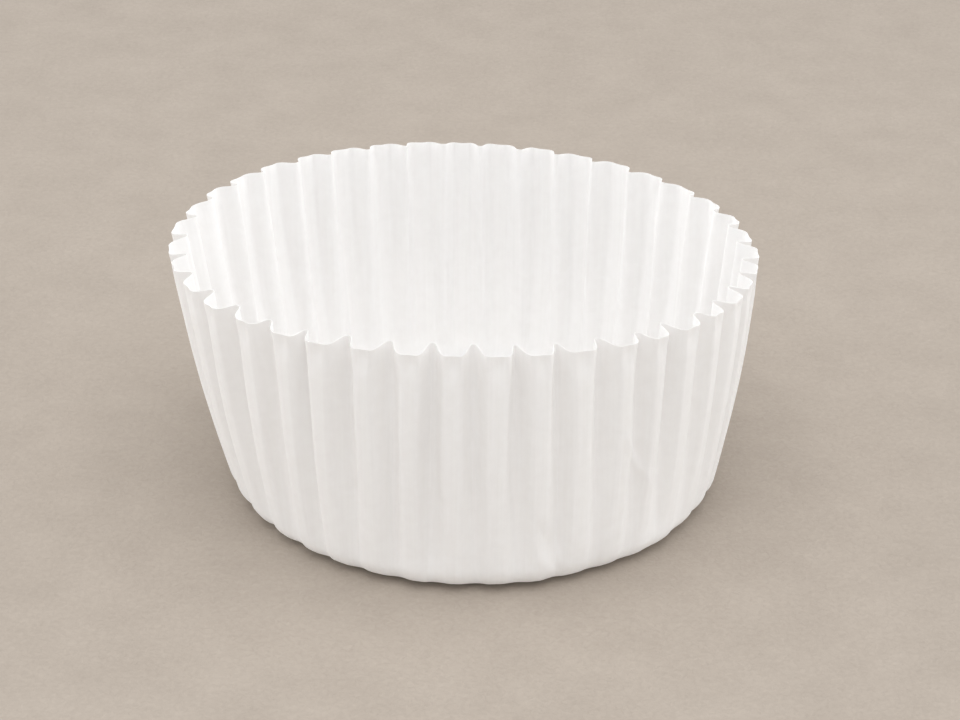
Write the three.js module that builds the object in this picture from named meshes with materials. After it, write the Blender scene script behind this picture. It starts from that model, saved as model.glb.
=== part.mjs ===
// A pleated paper baking cup, pressed from one round sheet of white paper.
// Millimetres, +Z up. It stands on z = 0 with the floor's centre at the origin, and -Y is its near side.
import * as THREE from "three";
import { ParametricGeometry } from "three/addons/geometries/ParametricGeometry.js";
import { mergeGeometries } from "three/addons/utils/BufferGeometryUtils.js";

// The paper
const paperThickness = 0.07;
const paperColor = 0xf2efeb;
const paperRoughness = 0.85;

// The cup, measured to the middle of the paper
const floorRadius = 28.7; // flat part of the floor
const rimRadius = 35; // over the crests, on average
const rimHeight = 32.1; // of the crests, on average
const rimLean = new THREE.Vector2(-1.7, 0); // how far the rim's centre has moved off the floor's centre
const crestTurnRadius = 3.7; // how a crest turns up out of the floor
const grooveTurnRadius = 2.7; // a groove turns up tighter
const crestBelly = 0.6; // how far a crest bows outwards half way up

// The rim is pressed a little out of round, and the sheet lay off centre in the die.
// Each pair is the size of a cosine and a sine wave: the first pair has one wave round the cup, and so on.
const rimOutOfRound = [
  [0, 0],
  [2.35, 0.1],
  [0.2, -0.5],
];
const rimOutOfLevel = [[-0.75, -1.25]];

// The pleats
const pleatCount = 40;
const pleatDepth = 2.2; // at the rim
const grooveRise = 0.45; // how much higher the rim is in a groove than on a crest
const crestDish = 0.05; // how hollow a crest's flat top is, as a share of the depth
const firstCrest = THREE.MathUtils.degToRad(174.6);

// Pleats stand evenly at the floor. Towards the rim they drift round it, by these waves in degrees.
const rimDrift = [
  [1.7, 4.2],
  [-0.4, -1.85],
  [0.55, 0.7],
];
const floorDriftShare = 0.4;

// One pleat from groove to groove: how far from the crest's centre, as a share of the pitch,
// and how high between the groove (0) and the crest (1)
const pleatSection = [
  { at: -0.5, height: 0 },
  { at: -0.41, height: 0.3 },
  { at: -0.3, height: 0.9 },
  { at: -0.17, height: 1 },
  { at: 0, height: 1 - crestDish },
  { at: 0.17, height: 1 },
  { at: 0.3, height: 0.9 },
  { at: 0.41, height: 0.3 },
];

// Where the rows of the wall are: along the turn out of the floor, then along the straight wall
const turnRows = [0.35, 0.7, 1];
const wallRows = [0.3, 0.65, 1];
const rows = [
  { turn: 0, wall: 0 },
  ...turnRows.map((turn) => ({ turn, wall: 0 })),
  ...wallRows.map((wall) => ({ turn: 1, wall })),
];
const columnCount = pleatCount * pleatSection.length;

// Sum of slow waves at an angle round the cup
function slowWave(angle, pairs) {
  return pairs.reduce(
    (sum, [cosine, sine], i) =>
      sum + cosine * Math.cos((i + 1) * angle) + sine * Math.sin((i + 1) * angle),
    0,
  );
}

// Angle round the cup of one column of points, at a share of the way up
function columnAngle(column, share) {
  const pleat = Math.floor(column / pleatSection.length);
  const { at } = pleatSection[column % pleatSection.length];
  const even = ((pleat + at) / pleatCount) * 2 * Math.PI;
  const drift = THREE.MathUtils.degToRad(slowWave(even, rimDrift));
  return firstCrest + even + drift * THREE.MathUtils.lerp(floorDriftShare, 1, share);
}

// Radius (x) and height (y) on a line up the cup: an arc out of the floor, then straight to the rim
function lineUp(row, turnRadius, topRadius, topHeight, belly) {
  const middle = new THREE.Vector2(floorRadius, turnRadius);
  const top = new THREE.Vector2(topRadius, topHeight);
  const reach = top.clone().sub(middle);
  const turnEnd = reach.angle() - Math.acos(turnRadius / reach.length());
  const angle = THREE.MathUtils.lerp(-Math.PI / 2, turnEnd, row.turn);
  const point = new THREE.Vector2(Math.cos(angle), Math.sin(angle));
  point.multiplyScalar(turnRadius).add(middle).lerp(top, row.wall);
  point.x += belly * 4 * row.wall * (1 - row.wall);
  return point;
}

// Middle of the paper at a column and a row of the wall
function wallPoint(column, row) {
  const { height: crestShare } = pleatSection[column % pleatSection.length];
  const angle = columnAngle(column, row.wall);
  const topRadius = rimRadius + slowWave(angle, rimOutOfRound);
  const topHeight = rimHeight + slowWave(angle, rimOutOfLevel);
  const crest = lineUp(row, crestTurnRadius, topRadius, topHeight, crestBelly);
  const groove = lineUp(row, grooveTurnRadius, topRadius - pleatDepth, topHeight + grooveRise, 0);
  const { x: radius, y: height } = groove.lerp(crest, crestShare);
  const lean = rimLean.clone().multiplyScalar(height / rimHeight);
  return new THREE.Vector3(
    radius * Math.cos(angle) + lean.x,
    radius * Math.sin(angle) + lean.y,
    height + paperThickness / 2,
  );
}

// Outward direction of the paper there, from the points on either side of it
function wallNormal(column, rowIndex) {
  if (rowIndex === 0) return new THREE.Vector3(0, 0, -1);
  const above = rows[Math.min(rowIndex + 1, rows.length - 1)];
  const below = rows[rowIndex - 1];
  const here = rows[rowIndex];
  const next = (column + 1) % columnCount;
  const last = (column + columnCount - 1) % columnCount;
  const across = wallPoint(next, here).sub(wallPoint(last, here));
  const up = wallPoint(column, above).sub(wallPoint(column, below));
  return across.cross(up).normalize();
}

// Point on the outer face (side 1) or the inner face (side -1)
function facePoint(column, rowIndex, side) {
  const offset = wallNormal(column, rowIndex).multiplyScalar((side * paperThickness) / 2);
  return wallPoint(column, rows[rowIndex]).add(offset);
}

// One face of the paper, from the floor's middle out and up to the rim
function faceGeometry(side) {
  const middle = new THREE.Vector3(0, 0, ((1 - side) * paperThickness) / 2);
  const face = (u, v, target) => {
    const column = Math.round(u * columnCount) % columnCount;
    const rowIndex = Math.round(v * rows.length) - 1;
    target.copy(rowIndex < 0 ? middle : facePoint(column, rowIndex, side));
  };
  return new ParametricGeometry(face, columnCount, rows.length);
}

// The paper's cut edge along the rim, from the outer face to the inner
function edgeGeometry() {
  const edge = (u, v, target) => {
    const column = Math.round(u * columnCount) % columnCount;
    target.copy(facePoint(column, rows.length - 1, v > 0.5 ? -1 : 1));
  };
  return new ParametricGeometry(edge, columnCount, 1);
}

// Turns every triangle to face the other way, and leaves it where it is
function turnedRound(geometry) {
  const index = geometry.getIndex();
  for (let i = 0; i < index.count; i += 3) {
    const first = index.getX(i);
    index.setX(i, index.getX(i + 1));
    index.setX(i + 1, first);
  }
  return geometry;
}

// Both faces are cut into the same triangles, so that they stay a paper's thickness apart everywhere
function cupGeometry() {
  return mergeGeometries([faceGeometry(1), edgeGeometry(), turnedRound(faceGeometry(-1))]);
}

function paperMaterial() {
  return new THREE.MeshStandardMaterial({
    color: paperColor,
    roughness: paperRoughness,
    metalness: 0,
  });
}

const cup = new THREE.Mesh(cupGeometry(), paperMaterial());
cup.name = "baking_cup";

const part = new THREE.Group();
part.name = "paper_baking_cup";
part.add(cup);

export default part;
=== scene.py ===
import math

import bpy
from mathutils import Matrix, Vector


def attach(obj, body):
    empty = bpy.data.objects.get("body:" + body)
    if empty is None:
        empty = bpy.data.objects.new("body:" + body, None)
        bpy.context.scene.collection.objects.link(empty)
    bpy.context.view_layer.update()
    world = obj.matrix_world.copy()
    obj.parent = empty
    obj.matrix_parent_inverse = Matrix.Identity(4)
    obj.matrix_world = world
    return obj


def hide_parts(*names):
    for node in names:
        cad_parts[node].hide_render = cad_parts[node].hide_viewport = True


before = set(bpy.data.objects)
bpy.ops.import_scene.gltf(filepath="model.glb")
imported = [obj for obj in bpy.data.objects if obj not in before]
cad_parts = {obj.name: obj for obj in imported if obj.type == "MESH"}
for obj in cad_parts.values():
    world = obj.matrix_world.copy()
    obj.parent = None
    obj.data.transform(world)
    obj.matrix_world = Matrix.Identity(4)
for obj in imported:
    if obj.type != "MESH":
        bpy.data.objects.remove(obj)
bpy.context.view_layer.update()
print("frame loaded:", ", ".join(sorted(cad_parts)))

mm = 0.001
degree = math.radians(1)


# Small helpers for node trees
def newTree(name, kind, inputs, outputs):
    tree = bpy.data.node_groups.new(name, kind)
    for side, sockets in (("INPUT", inputs), ("OUTPUT", outputs)):
        for label, socketKind in sockets:
            tree.interface.new_socket(name=label, in_out=side, socket_type="NodeSocket" + socketKind)
    return tree


def addNode(tree, kind, feeds=(), **settings):
    node = tree.nodes.new(kind)
    for name, value in settings.items():
        setattr(node, name, value)
    for slot, value in dict(feeds).items():
        feed(tree, node.inputs[slot], value)
    return node


def feed(tree, socket, value):
    if isinstance(value, Field):
        value = value.socket
    if isinstance(value, bpy.types.NodeSocket):
        tree.links.new(value, socket)
    else:
        socket.default_value = value


class Field:  # a node's output that can be added and multiplied like a number
    def __init__(self, tree, socket):
        self.tree = tree
        self.socket = socket

    def calc(self, operation, *others, clamp=False):
        node = addNode(self.tree, "ShaderNodeMath", operation=operation, use_clamp=clamp)
        for socket, value in zip(node.inputs, (self, *others)):
            feed(self.tree, socket, value)
        return Field(self.tree, node.outputs[0])

    def __add__(self, other):
        return self.calc("ADD", other)

    def __sub__(self, other):
        return self.calc("SUBTRACT", other)

    def __mul__(self, other):
        return self.calc("MULTIPLY", other)

    def __truediv__(self, other):
        return self.calc("DIVIDE", other)

    def __neg__(self):
        return self.calc("MULTIPLY", -1)

    def squared(self):
        return self.calc("MULTIPLY", self)

    def clamped(self):
        return self.calc("ADD", 0, clamp=True)


def sine(value):
    return value.calc("SINE")


def cosine(value):
    return value.calc("COSINE")


def blendTo(low, high, share):  # low where share is 0 and high where it is 1
    return (high - low) * share + low


def bellCurve(value):  # 1 at 0, and next to nothing past 2
    return (-value.squared()).calc("EXPONENT")


def fields(tree, sockets):
    return {socket.name: Field(tree, socket) for socket in sockets if socket.name}


def groupIn(tree):
    return fields(tree, tree.nodes.new("NodeGroupInput").outputs)


def groupOut(tree, **values):
    sockets = tree.nodes.new("NodeGroupOutput").inputs
    for name, value in values.items():
        feed(tree, sockets[name], value)


def useGroup(tree, group, **feeds):
    node = addNode(tree, "GeometryNodeGroup", node_tree=group)
    for name, value in feeds.items():
        feed(tree, node.inputs[name], value)
    return fields(tree, node.outputs)


def splitVector(tree, value):
    node = addNode(tree, "ShaderNodeSeparateXYZ", {0: value})
    return [Field(tree, socket) for socket in node.outputs]


def joinVector(tree, x, y, z):
    return Field(tree, addNode(tree, "ShaderNodeCombineXYZ", {0: x, 1: y, 2: z}).outputs[0])


# The camera, where the photo was taken from
view = {
    "distance": 400 * mm,
    "elevation": 28.7 * degree,
    "aim": Vector((0.64, 0, 15.4)) * mm,
    "roll": 0.62 * degree,
    "lens": 115.5,
    "sensor": 36,
    "nearest": 10 * mm,
}


def placeCamera():
    away = Vector((0, -math.cos(view["elevation"]), math.sin(view["elevation"])))
    lens = bpy.data.cameras.new("camera")
    lens.lens = view["lens"]
    lens.sensor_width = view["sensor"]
    lens.clip_start = view["nearest"]
    camera = bpy.data.objects.new("camera", lens)
    turn = (-away).to_track_quat("-Z", "Y").to_matrix() @ Matrix.Rotation(view["roll"], 3, "Z")
    camera.matrix_world = Matrix.Translation(view["aim"] + away * view["distance"]) @ turn.to_4x4()
    bpy.context.scene.collection.objects.link(camera)
    bpy.context.scene.camera = camera


placeCamera()
print("camera placed")

# The cup's shape: these are the inputs of its node tree
cup = {
    "Paper Thickness": 0.05 * mm,
    "Floor Radius": 28.7 * mm,
    "Rim Radius": 35 * mm,
    "Rim Height": 32.25 * mm,
    "Rim Lean": -1.7 * mm,
    "Crest Turn": 3.7 * mm,
    "Groove Turn": 2.7 * mm,
    "Crest Belly": 0.6 * mm,
    "Radius Cosines": Vector((0, 2.35, 0.2)) * mm,  # the rim is a little out of round
    "Radius Sines": Vector((0, 0.1, -0.5)) * mm,
    "Height Cosines": Vector((-0.75, 0, 0)) * mm,  # and a little off level
    "Height Sines": Vector((-1.1, 0, 0)) * mm,
    "Pleats": 40,
    "Pleat Depth": 2.1 * mm,
    "Depth Change": 0.16,  # how much shallower the pleats are at the back, and deeper in front
    "Groove Rise": 0.38 * mm,
    "First Crest": 174.6 * degree,
    "Drift Cosines": Vector((1.7, -0.4, 0.55)) * degree,  # pleats crowd on the right of the rim
    "Drift Sines": Vector((4.2, -1.85, 0.7)) * degree,
    "Floor Drift": 0.4,  # the floor's share of it
    "Columns Per Pleat": 20,
    "Floor Rows": 4,
    "Turn Rows": 10,
    "Wall Rows": 36,
    "Wander": 0.45 * mm,  # how far a fold strays from its line
    "Skew": 0.05,  # how far a crest's middle is from the middle of its pleat, in pleats
    "Width Change": 0.16,  # how much crests differ in width
    "Crest Change": 0.15 * mm,  # how much crests and grooves differ in depth
    "Groove Change": 0.35 * mm,
    "Dish": 0.17 * mm,  # hollow of a crest's flat top
    "Rim Dent": 0.32 * mm,  # small hollow just under the rim, on each crest
    "Press Marks": 0.035 * mm,
    "Seed": 7,
}

# From a crest's middle (0) to the groove's bottom (1): how high the paper stands
rimSection = [
    (0, 1), (0.25, 0.99), (0.45, 0.94), (0.6, 0.8),
    (0.71, 0.55), (0.8, 0.25), (0.89, 0.05), (1, 0),
]
wallSection = [(0, 1), (0.25, 0.985), (0.4, 0.9), (0.54, 0.62), (0.7, 0.28), (0.86, 0.07), (1, 0)]
rimShare = 0.28  # the top of the wall, where one section turns into the other
crowding = 0.75  # how much closer columns of points lie in the grooves
dishWidth = 0.42  # from a crest's middle, like the dent's
rimDent = {"width": 0.34, "from": 0.88, "deepens": 0.07, "to": 1.03, "fades": 0.06}

# How fine the noises are, round the cup and up it
wanderNoise = (9, 0.9)
pressNoise = (26, 1.5)

# Sides of the foot that were pushed in flat, between two corners; angles are in degrees
flatSides = [
    {"from": 261.5, "to": 282, "depth": 0.35 * mm, "height": 5 * mm, "corner": 0.45 * mm},
    {"from": 282, "to": 315.5, "depth": 0.5 * mm, "height": 5 * mm, "corner": 0.45 * mm},
    {"from": 315.5, "to": 341, "depth": 0.2 * mm, "height": 5 * mm, "corner": 0.5 * mm},
]
cornerWidth = 9  # a corner sticks out over this much to each side
relaxed = {"angle": 322, "width": 30, "share": 0.55}  # here the pleats lie flatter towards the foot
crumple = {
    "angle": 286.6,
    "height": 5.5 * mm,
    "width": 2.2 * mm,
    "tallness": 4.2 * mm,
    "depth": 1.1 * mm,
    "noise": (17, 230),
}
crease = {
    "angle": 308.5,
    "height": 16.1 * mm,
    "slope": 0.41,
    "length": 5.4 * mm,
    "width": 0.5 * mm,
    "depth": 0.4 * mm,
}

sharpAngle = 60  # edges sharper than this, in degrees, are drawn sharp
inputKinds = {int: "Int", float: "Float", Vector: "Vector"}


def waveTree():  # three slow waves round the cup, added up
    tree = newTree(
        "slow wave", "GeometryNodeTree",
        [("Angle", "Float"), ("Cosines", "Vector"), ("Sines", "Vector")],
        [("Wave", "Float")],
    )
    given = groupIn(tree)
    cosines = splitVector(tree, given["Cosines"])
    sines = splitVector(tree, given["Sines"])
    total = None
    for i in range(3):
        turned = given["Angle"] * (i + 1)
        part = cosine(turned) * cosines[i] + sine(turned) * sines[i]
        total = part if total is None else total + part
    groupOut(tree, Wave=total)
    return tree


def lineUpTree():  # a line up the cup: an arc out of the floor, then straight to the rim
    names = ["Turn", "Wall", "Floor Radius", "Turn Radius", "Top Radius", "Top Height", "Belly"]
    tree = newTree(
        "line up the cup", "GeometryNodeTree",
        [(name, "Float") for name in names],
        [("Radius", "Float"), ("Height", "Float")],
    )
    given = groupIn(tree)
    turnRadius, wall = given["Turn Radius"], given["Wall"]
    run = given["Top Radius"] - given["Floor Radius"]
    rise = given["Top Height"] - turnRadius
    reach = (run.squared() + rise.squared()).calc("SQRT")
    turnEnd = rise.calc("ARCTAN2", run) - (turnRadius / reach).calc("ARCCOSINE")
    angle = blendTo(-math.pi / 2, turnEnd, given["Turn"])
    radius = blendTo(given["Floor Radius"] + turnRadius * cosine(angle), given["Top Radius"], wall)
    belly = given["Belly"] * 4 * wall * (-wall + 1)
    height = blendTo(turnRadius + turnRadius * sine(angle), given["Top Height"], wall)
    groupOut(tree, Radius=radius + belly, Height=height)
    return tree


def randomFor(tree, index, size, seed):  # a number from -size to size for each index
    least, most, which, start = 2, 3, 7, 8  # the node's sockets for plain numbers
    node = addNode(tree, "FunctionNodeRandomValue", {least: -1.0, most: 1.0, which: index, start: seed})
    return Field(tree, node.outputs[1]) * size


def noiseAround(tree, angle, height, fineness, detail=1.0):  # -1 to 1, and it closes round the cup
    turns, rise = fineness
    place = joinVector(tree, cosine(angle) * turns, sine(angle) * turns, height * rise)
    noise = addNode(tree, "ShaderNodeTexNoise", {
        "Vector": place,
        "Scale": 1.0,
        "Detail": detail,
        "Roughness": 0.5,
    }, noise_dimensions="3D")
    return (Field(tree, noise.outputs[0]) - 0.5) * 2


def sectionCurve(tree, fromCrest, shape):
    node = addNode(tree, "ShaderNodeFloatCurve", {"Value": fromCrest})
    points = node.mapping.curves[0].points
    for _ in range(len(shape) - 2):
        points.new(0.5, 0.5)
    for point, spot in zip(points, shape):
        point.location = spot
    node.mapping.update()
    return Field(tree, node.outputs[0])


def pushedIn(angle, height):  # how far the flat sides of the foot lie inside its round
    total = None
    for side in flatSides:
        middle = math.radians((side["from"] + side["to"]) / 2)
        half = math.radians((side["to"] - side["from"]) / 2)
        across = (-((angle - middle) / half).squared() + 1).clamped()
        fade = (-(height / side["height"]) + 1).clamped()
        pastCorner = (angle - side["from"] * degree) / (cornerWidth * degree)
        corner = bellCurve(pastCorner) * side["corner"]
        part = (across * side["depth"] - corner) * fade
        total = part if total is None else total + part
    return total


def crumpled(tree, angle, height, radius):  # a small patch of soft folds near the foot
    beside = (angle - math.radians(crumple["angle"])) * radius / crumple["width"]
    above = (height - crumple["height"]) / crumple["tallness"]
    folds = noiseAround(tree, angle, height, crumple["noise"], 2.0)
    return folds * bellCurve(beside) * bellCurve(above) * crumple["depth"]


def flattened(angle, wall):  # how far the grooves are filled out where the pleats are relaxed
    beside = (angle - math.radians(relaxed["angle"])) / math.radians(relaxed["width"])
    return bellCurve(beside) * (-wall + 1).squared() * relaxed["share"]


def creased(angle, height, radius):  # a fine slanting ridge on the right of the front
    beside = (angle - math.radians(crease["angle"])) * radius
    above = height - crease["height"]
    straight = math.sqrt(1 - crease["slope"] ** 2)
    across = (beside * straight + above * crease["slope"]) / crease["width"]
    along = (above * straight - beside * crease["slope"]) / crease["length"]
    return bellCurve(across) * (-along.squared() + 1).clamped() * crease["depth"]


def sewnUp(tree, geometry):  # points that meet become one
    return addNode(tree, "GeometryNodeMergeByDistance", {
        "Geometry": geometry,
        "Distance": 0.001 * mm,
    })


def thickened(tree, sheet, thickness):  # half to each side of the sheet
    normal = tree.nodes.new("GeometryNodeInputNormal").outputs[0]
    inwards = addNode(tree, "ShaderNodeVectorMath", {
        0: normal,
        "Scale": thickness / -2,
    }, operation="SCALE")
    inner = addNode(tree, "GeometryNodeSetPosition", {
        "Geometry": sheet,
        "Offset": inwards.outputs[0],
    })
    outer = addNode(tree, "GeometryNodeExtrudeMesh", {
        "Mesh": inner.outputs[0],
        "Offset": normal,
        "Offset Scale": thickness,
        "Individual": False,
    }, mode="FACES")
    flipped = addNode(tree, "GeometryNodeFlipFaces", {"Mesh": inner.outputs[0]})
    joined = addNode(tree, "GeometryNodeJoinGeometry")
    tree.links.new(outer.outputs["Mesh"], joined.inputs[0])
    tree.links.new(flipped.outputs[0], joined.inputs[0])
    return sewnUp(tree, joined.outputs[0])


def smoothed(tree, mesh):  # smooth but for the cut edge
    edge = tree.nodes.new("GeometryNodeInputMeshEdgeAngle")
    edgeAngle = Field(tree, edge.outputs["Unsigned Angle"])
    sharp = addNode(tree, "GeometryNodeSetShadeSmooth", {
        "Geometry": mesh,
        "Selection": edgeAngle.calc("GREATER_THAN", math.radians(sharpAngle)),
        "Shade Smooth": False,
    }, domain="EDGE")
    return addNode(tree, "GeometryNodeSetShadeSmooth", {
        "Geometry": sharp.outputs[0],
        "Shade Smooth": True,
    })


def cupTree():
    sockets = [(name, inputKinds[type(value)]) for name, value in cup.items()]
    tree = newTree(
        "pleated cup", "GeometryNodeTree",
        [*sockets, ("Paper", "Material")],
        [("Cup", "Geometry")],
    )
    given = groupIn(tree)
    wave, lineUp = waveTree(), lineUpTree()

    def waveOf(name, angle):
        cosines, sines = given[name + " Cosines"], given[name + " Sines"]
        return useGroup(tree, wave, Angle=angle, Cosines=cosines, Sines=sines)["Wave"]

    # a flat grid: X goes round the cup, and Y from the floor's middle out and up to the rim
    allRows = given["Floor Rows"] + given["Turn Rows"] + given["Wall Rows"]
    grid = addNode(tree, "GeometryNodeMeshGrid", {
        "Size X": 1.0,
        "Size Y": 1.0,
        "Vertices X": given["Pleats"] * given["Columns Per Pleat"] + 1,
        "Vertices Y": allRows + 1,
    })
    across, along, _ = splitVector(tree, tree.nodes.new("GeometryNodeInputPosition").outputs[0])
    place = (across + 0.5) * given["Pleats"]
    row = (along + 0.5) * allRows
    floorShare = (row / given["Floor Rows"]).clamped()
    turn = ((row - given["Floor Rows"]) / given["Turn Rows"]).clamped()
    wall = ((row - given["Floor Rows"] - given["Turn Rows"]) / given["Wall Rows"]).clamped()

    # which pleat, and where on it
    crestIndex = place.calc("ROUND")
    crestNumber = crestIndex.calc("MODULO", given["Pleats"])
    grooveNumber = place.calc("FLOOR").calc("MODULO", given["Pleats"])
    crestRandom = randomFor(tree, crestNumber, given["Crest Change"], given["Seed"])
    grooveRandom = randomFor(tree, grooveNumber, given["Groove Change"], given["Seed"] + 1)
    skew = randomFor(tree, crestNumber, given["Skew"], given["Seed"] + 2)
    wide = randomFor(tree, crestNumber, given["Width Change"], given["Seed"] + 3) + 1
    even = place - crestIndex
    tight = sine(even * math.pi) * 0.5  # columns lie closer together in the grooves
    beside = blendTo(even, tight, crowding)
    column = crestIndex + beside
    beside = beside + skew * (-(beside * 2).squared() + 1)
    fromCrest = (beside.calc("ABSOLUTE") * 2).calc("POWER", wide)
    nearRim = ((wall - (1 - rimShare)) / rimShare).clamped().squared()
    atRim = sectionCurve(tree, fromCrest, rimSection)
    crestShare = blendTo(sectionCurve(tree, fromCrest, wallSection), atRim, nearRim)

    # angle round the cup, with the pleats' drift and a little wandering of each fold
    turned = column / given["Pleats"] * math.tau
    drift = waveOf("Drift", turned) * ((-given["Floor Drift"] + 1) * wall + given["Floor Drift"])
    strayed = noiseAround(tree, turned, wall, wanderNoise) * given["Wander"]
    wander = strayed / given["Rim Radius"] * 2
    angle = given["First Crest"] + turned + drift + wander

    topRadius = given["Rim Radius"] + waveOf("Radius", angle)
    topHeight = given["Rim Height"] + waveOf("Height", angle)
    pleatDepth = given["Pleat Depth"] * (-sine(angle) * given["Depth Change"] + 1)
    shared = {"Turn": turn, "Wall": wall, "Floor Radius": given["Floor Radius"]}
    crest = useGroup(tree, lineUp, **shared, **{
        "Turn Radius": given["Crest Turn"],
        "Top Radius": topRadius + crestRandom,
        "Top Height": topHeight,
        "Belly": given["Crest Belly"],
    })
    groove = useGroup(tree, lineUp, **shared, **{
        "Turn Radius": given["Groove Turn"],
        "Top Radius": topRadius - pleatDepth + grooveRandom,
        "Top Height": topHeight + given["Groove Rise"],
        "Belly": 0.0,
    })
    dished = (-(fromCrest / dishWidth).squared() + 1).clamped()
    dish = dished * given["Dish"] * wall * (-nearRim + 1)
    deepens = ((wall - rimDent["from"]) / rimDent["deepens"]).clamped()
    fades = ((-wall + rimDent["to"]) / rimDent["fades"]).clamped()
    dented = (-(fromCrest / rimDent["width"]).squared() + 1).clamped()
    dent = deepens * fades * dented * given["Rim Dent"]
    marks = noiseAround(tree, angle, wall, pressNoise, 2.0) * given["Press Marks"] * turn
    level = crestShare + (-crestShare + 1) * flattened(angle, wall)
    radius = blendTo(groove["Radius"], crest["Radius"], level) - dish - dent + marks
    height = blendTo(groove["Height"], crest["Height"], level)
    folds = crumpled(tree, angle, height, radius) + creased(angle, height, radius)
    dents = folds - pushedIn(angle, height)
    radius = (radius + dents * turn) * floorShare
    lean = given["Rim Lean"] * height / given["Rim Height"]
    position = joinVector(
        tree,
        radius * cosine(angle) + lean,
        radius * sine(angle),
        height + given["Paper Thickness"] / 2,
    )
    sheet = addNode(tree, "GeometryNodeSetPosition", {
        "Geometry": grid.outputs["Mesh"],
        "Position": position,
    })
    sewn = sewnUp(tree, sheet.outputs[0])
    cut = addNode(tree, "GeometryNodeTriangulate", {"Mesh": sewn.outputs[0]})
    closed = thickened(tree, cut.outputs[0], given["Paper Thickness"])
    smooth = smoothed(tree, closed.outputs[0])
    real = addNode(tree, "GeometryNodeRealizeInstances", {0: smooth.outputs[0]})
    dressed = addNode(tree, "GeometryNodeSetMaterial", {
        "Geometry": real.outputs[0],
        "Material": given["Paper"],
    })
    groupOut(tree, Cup=dressed.outputs[0])
    return tree


# The paper: white and a little see-through, cloudy, with fibres and press lines
paper = {
    "thin": (0.885, 0.872, 0.862, 1),
    "thick": (0.94, 0.932, 0.925, 1),
    "clouds": {"size": 1.6 * mm, "detail": 3, "distortion": 0.4},
    "fibres": {"size": 0.12 * mm, "detail": 2, "distortion": 1.5},
    "lines": {"size": 1, "detail": 2, "distortion": 0.0},
    "lineFineness": (95, 60),  # of the press lines, round the cup and up it
    "thickness": (0.4, 0.2, 0.4),  # shares of clouds, fibres and press lines in how thick it looks
    "relief": (0.6, 0.5, 0.9),  # and in how it stands out
    "bump": 0.02 * mm,
    "shine": 0.25,
    "roughness": (0.72, 0.9),
    "glow": 1.0,  # share of the light that wanders through the sheet
    "reach": 0.12 * mm,
}
noiseRoughness = 0.55
noiseRange = (0.3, 0.7)


def noiseAt(tree, place, kind):
    node = addNode(tree, "ShaderNodeTexNoise", {
        "Vector": place,
        "Scale": 1 / kind["size"],
        "Detail": kind["detail"],
        "Roughness": noiseRoughness,
        "Distortion": kind["distortion"],
    })
    return Field(tree, node.outputs[0])


def mixed(values, shares):
    parts = [value * share for value, share in zip(values, shares)]
    return sum(parts[1:], parts[0])


def spread(value):  # noise keeps near its middle, and this stretches it to 0 and 1
    low, high = noiseRange
    return ((value - low) / (high - low)).clamped()


def mixColors(tree, share, low, high):
    factor, first, second = 0, 6, 7  # the node's sockets for colours
    node = addNode(tree, "ShaderNodeMix", {factor: share, first: low, second: high}, data_type="RGBA")
    return node.outputs[2]


def makePaper():
    material = bpy.data.materials.new("whiteBakingPaper")
    material.use_nodes = True
    tree = material.node_tree
    shader = tree.nodes["Principled BSDF"]
    place = Field(tree, tree.nodes.new("ShaderNodeTexCoord").outputs["Object"])
    x, y, z = splitVector(tree, place)
    around = y.calc("ARCTAN2", x)
    turns, rise = paper["lineFineness"]
    ring = joinVector(tree, cosine(around) * turns, sine(around) * turns, z * rise)
    clouds = noiseAt(tree, place, paper["clouds"])
    fibres = noiseAt(tree, place, paper["fibres"])
    lines = noiseAt(tree, ring, paper["lines"])
    noises = (clouds, fibres, lines)
    thickness = spread(mixed(noises, paper["thickness"]))
    tone = mixColors(tree, thickness, paper["thin"], paper["thick"])
    feed(tree, shader.inputs["Base Color"], tone)
    low, high = paper["roughness"]
    feed(tree, shader.inputs["Roughness"], fibres * (high - low) + low)
    relief = mixed(noises, paper["relief"])
    bump = addNode(tree, "ShaderNodeBump", {"Distance": paper["bump"], "Height": relief})
    feed(tree, shader.inputs["Normal"], bump.outputs[0])
    shader.inputs["Specular IOR Level"].default_value = paper["shine"]
    shader.inputs["Subsurface Weight"].default_value = paper["glow"]
    shader.inputs["Subsurface Radius"].default_value = (1, 1, 1)
    shader.inputs["Subsurface Scale"].default_value = paper["reach"]
    return material


def makeCup():
    tree = cupTree()
    holder = bpy.data.objects.new("cupHolder", bpy.data.meshes.new("cupHolder"))
    bpy.context.scene.collection.objects.link(holder)
    modifier = holder.modifiers.new("pleatedCup", "NODES")
    modifier.node_group = tree
    values = {**cup, "Paper": makePaper()}
    for item in tree.interface.items_tree:
        if item.in_out == "INPUT":
            modifier[item.identifier] = values[item.name]
    evaluated = holder.evaluated_get(bpy.context.evaluated_depsgraph_get())
    mesh = bpy.data.meshes.new_from_object(evaluated)
    mesh.name = "pleatedCup"
    bpy.data.objects.remove(holder)
    piece = bpy.data.objects.new("pleatedCup", mesh)
    bpy.context.scene.collection.objects.link(piece)
    return piece


pleatedCup = makeCup()
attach(pleatedCup, "root")
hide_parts("baking_cup")
print("cup made:", len(pleatedCup.data.vertices), "points")

# The floor
floor = {
    "size": 3,
    "drop": 0.03 * mm,  # a hair under the cup, so that the two faces don't share one plane
    "dark": (0.367, 0.317, 0.27, 1),
    "light": (0.436, 0.381, 0.327, 1),
    "specks": {"size": 0.7 * mm, "detail": 3, "distortion": 0.8},
    "patches": {"size": 9 * mm, "detail": 2, "distortion": 0.0},
    "shares": (0.6, 0.4),  # of specks and patches
    "roughness": (0.8, 1.0),
    "bump": 0.12 * mm,
    "bumpStrength": 0.6,
}


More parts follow.
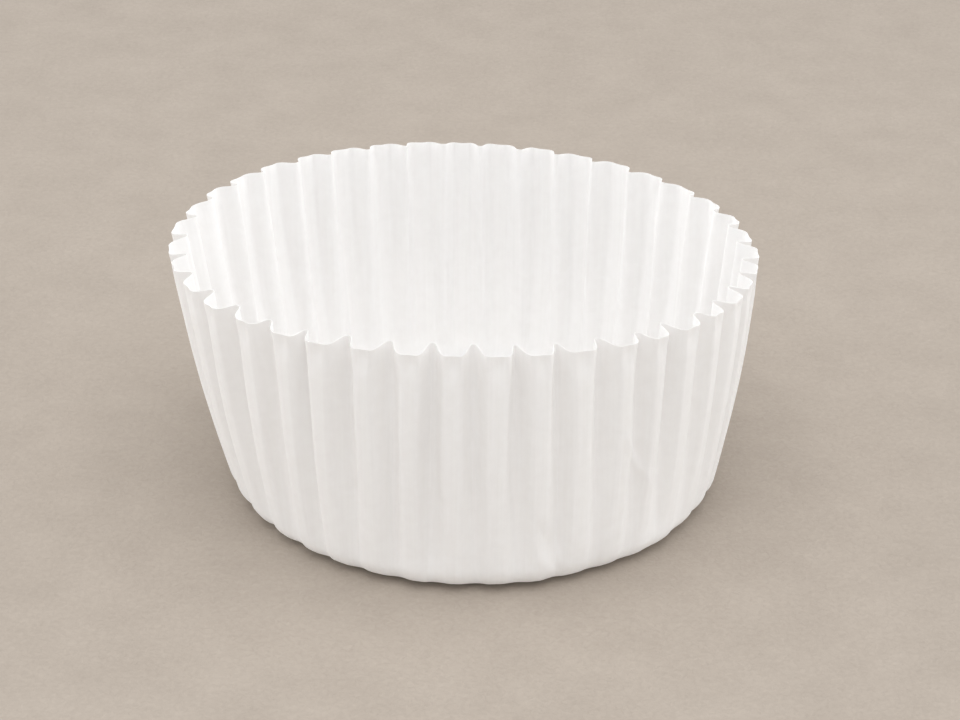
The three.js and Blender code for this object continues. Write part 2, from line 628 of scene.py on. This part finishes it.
def makeFloor():
    mesh = bpy.data.meshes.new("floor")
    half, level = floor["size"] / 2, -floor["drop"]
    corners = [(x * half, y * half, level) for x, y in ((-1, -1), (1, -1), (1, 1), (-1, 1))]
    mesh.from_pydata(corners, [], [(0, 1, 2, 3)])
    obj = bpy.data.objects.new("floor", mesh)
    bpy.context.scene.collection.objects.link(obj)
    card = bpy.data.materials.new("floorCard")
    card.use_nodes = True
    tree = card.node_tree
    shader = tree.nodes["Principled BSDF"]
    place = Field(tree, tree.nodes.new("ShaderNodeTexCoord").outputs["Object"])
    specks = noiseAt(tree, place, floor["specks"])
    patches = noiseAt(tree, place, floor["patches"])
    grain = spread(mixed((specks, patches), floor["shares"]))
    feed(tree, shader.inputs["Base Color"], mixColors(tree, grain, floor["dark"], floor["light"]))
    low, high = floor["roughness"]
    feed(tree, shader.inputs["Roughness"], specks * (high - low) + low)
    bump = addNode(tree, "ShaderNodeBump", {
        "Distance": floor["bump"],
        "Height": specks,
        "Strength": floor["bumpStrength"],
    })
    feed(tree, shader.inputs["Normal"], bump.outputs[0])
    mesh.materials.append(card)
    return obj


makeFloor()
print("floor laid")

# Soft studio light: lamps in metres and watts, and a light tent
lights = {
    "top": {"place": (0, -0.1, 0.7), "size": 0.7, "power": 3},
    "left": {"place": (-0.7, 0.05, 0.25), "size": 0.5, "power": 0.75},
    "right": {"place": (0.7, 0.05, 0.25), "size": 0.5, "power": 0.7},
}
lampAim = Vector((0, 0, 15)) * mm
sky = {"all": 0.68, "sides": 0.45}  # the tent is brighter on its left and right


def makeLights():
    for name, light in lights.items():
        lamp = bpy.data.lights.new(name, "AREA")
        lamp.shape = "SQUARE"
        lamp.size = light["size"]
        lamp.energy = light["power"]
        obj = bpy.data.objects.new(name, lamp)
        place = Vector(light["place"])
        turn = (lampAim - place).to_track_quat("-Z", "Y").to_matrix().to_4x4()
        obj.matrix_world = Matrix.Translation(place) @ turn
        bpy.context.scene.collection.objects.link(obj)
    world = bpy.data.worlds.new("lightTent")
    world.use_nodes = True
    tree = world.node_tree
    background = tree.nodes["Background"]
    background.inputs["Color"].default_value = (1, 1, 1, 1)
    sideways = splitVector(tree, tree.nodes.new("ShaderNodeTexCoord").outputs["Generated"])[0]
    feed(tree, background.inputs["Strength"], sideways.squared() * sky["sides"] + sky["all"])
    bpy.context.scene.world = world


makeLights()
bpy.context.scene.view_settings.view_transform = "Standard"
print("lights placed")
